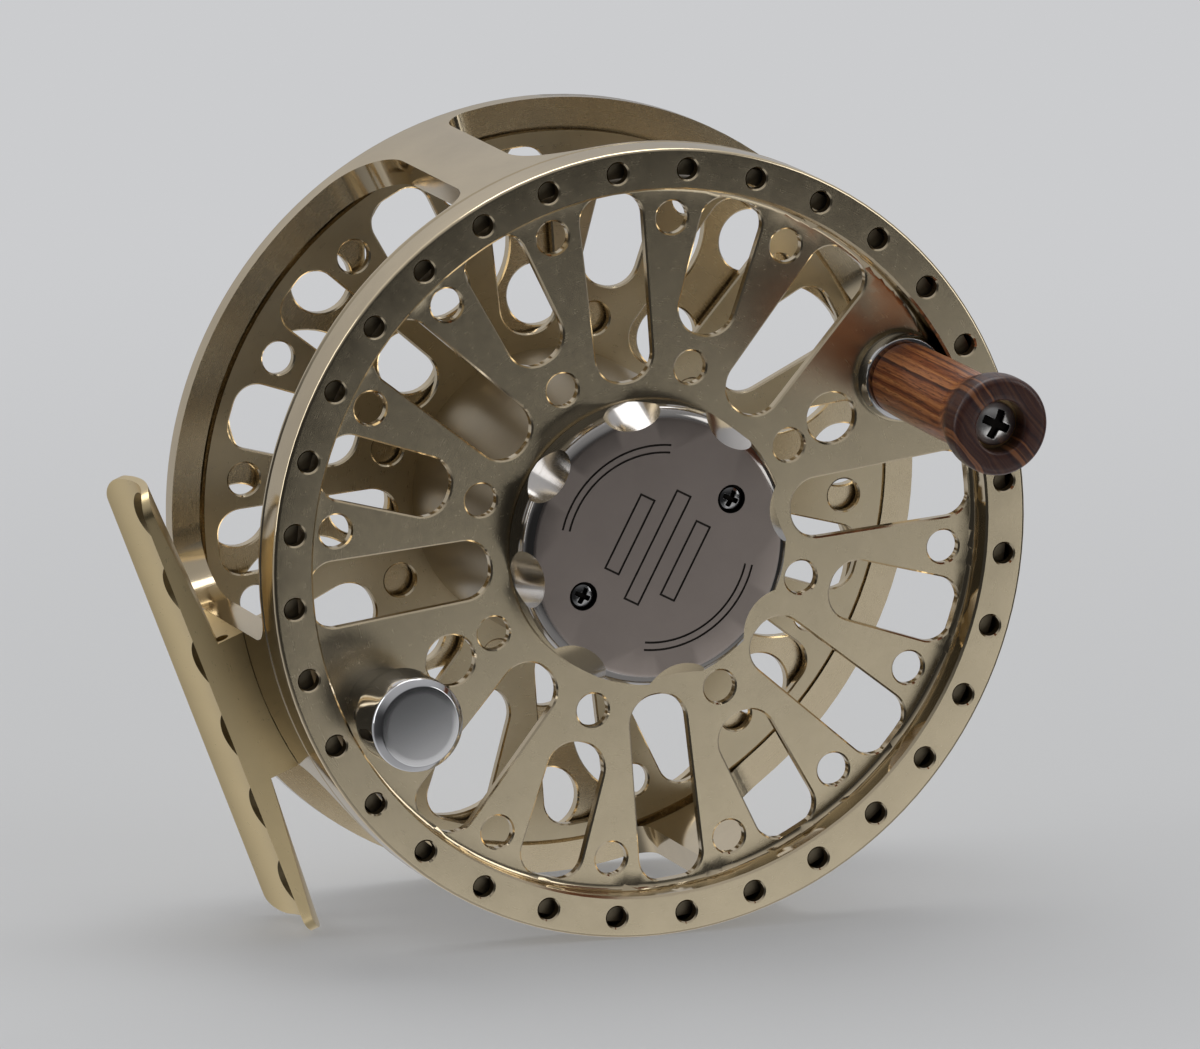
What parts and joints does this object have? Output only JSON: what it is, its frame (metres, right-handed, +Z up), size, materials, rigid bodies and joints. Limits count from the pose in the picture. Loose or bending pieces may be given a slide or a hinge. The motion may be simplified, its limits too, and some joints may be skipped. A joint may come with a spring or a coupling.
{
  "type": "fly fishing reel",
  "caption": "Large-arbor fly reel with ported spool, palming rim, windowed frame, rod foot, disc drag, scalloped hub cap, counterweight and wooden handle.",
  "frame": {"origin": "centre of the line arbor on the spool axis, half way between the two flanges", "axes": "+Y along the spool axis from the handle side to the drag knob side, +Z up as the reel stands on its rims and the lower tip of its foot, +X away from the foot"},
  "size_m": [0.118, 0.0861, 0.1054],
  "materials": {
    "frame_finish": "satin champagne gold",
    "spool_finish": "satin champagne gold with polished edges",
    "foot_finish": "satin gold",
    "cap_finish": "satin grey with polished edge",
    "polished_steel": "polished",
    "bearing_steel": "ground",
    "screw_steel": "satin",
    "rosewood": "oiled, striped",
    "bronze": "turned",
    "carbon": "matt",
    "seal_rubber": "matt",
    "knob_finish": "satin champagne gold"
  },
  "bodies": {
    "frame": {"frame": "frame_finish", "reel_foot": "foot_finish", "foot_screws": "screw_steel", "drag_housing": "frame_finish", "housing_screws": "screw_steel", "housing_seal": "seal_rubber", "shaft_seal": "seal_rubber", "shaft_bearing_outer": "bearing_steel", "carbon_discs": "carbon", "detent_ball": "bearing_steel", "detent_spring": "screw_steel", "pawl_pin": "screw_steel", "pawl_spring": "screw_steel"},
    "drag_rotor": {"drag_shaft": "bearing_steel", "shaft_bearing_inner": "bearing_steel", "shaft_bearing_balls": "bearing_steel", "steel_discs": "screw_steel", "front_bearing_inner": "bearing_steel"},
    "spool": {"spool": "spool_finish", "front_bearing_outer": "bearing_steel", "front_bearing_balls": "bearing_steel", "clutch_cup": "bearing_steel", "clutch_rollers": "bearing_steel", "click_gear": "bronze", "handle_post": "polished_steel", "post_screw": "screw_steel", "handle_screw": "polished_steel", "counterweight": "polished_steel", "counterweight_screw": "screw_steel"},
    "handle": {"handle_grip": "rosewood", "handle_bushes": "bronze"},
    "cap_thrust": {"cap_washer": "carbon"},
    "cap": {"spool_cap": "cap_finish", "cap_insert": "bronze", "cap_screws": "screw_steel"},
    "drag_knob": {"drag_knob": "knob_finish", "knob_clip": "screw_steel"},
    "drag_piston": {"drag_piston": "bronze", "drag_springs": "screw_steel", "pressure_plate": "screw_steel"},
    "click_pawl": {"click_pawl": "bronze"}
  },
  "joints": [
    {"name": "drag_slip", "type": "hinge", "parent": "frame", "child": "drag_rotor", "pos_m": [0, 0, 0], "axis": [0, 1, 0], "continuous": true},
    {"name": "spool_spin", "type": "hinge", "parent": "drag_rotor", "child": "spool", "pos_m": [0, 0, 0], "axis": [0, 1, 0], "continuous": true},
    {"name": "handle_spin", "type": "hinge", "parent": "spool", "child": "handle", "pos_m": [0.03618, 0, 0.01929], "axis": [0, 1, 0], "continuous": true},
    {"name": "cap_lift", "type": "slide", "parent": "drag_rotor", "child": "cap_thrust", "axis": [0, -1, 0], "range_m": [0, 0.00401]},
    {"name": "cap_turn", "type": "hinge", "parent": "cap_thrust", "child": "cap", "pos_m": [0, 0, 0], "axis": [0, -1, 0], "range_deg": [0, 1440]},
    {"name": "knob_turn", "type": "hinge", "parent": "frame", "child": "drag_knob", "pos_m": [0, 0, 0], "axis": [0, -1, 0], "range_deg": [0, 330]},
    {"name": "drag_press", "type": "slide", "parent": "frame", "child": "drag_piston", "axis": [0, -1, 0], "range_m": [0, 0.00046]},
    {"name": "click_rock", "type": "hinge", "parent": "frame", "child": "click_pawl", "pos_m": [0.0076, 0, 0.01316], "axis": [0, 1, 0], "range_deg": [-20, 20], "stiffness_Nm_per_rad": 0.0002}
  ],
  "couplings": [
    {"joint": "cap_lift", "follows": "cap_turn", "m_per_rad": 0.00015915},
    {"joint": "drag_press", "follows": "knob_turn", "m_per_rad": 0.000079577}
  ]
}
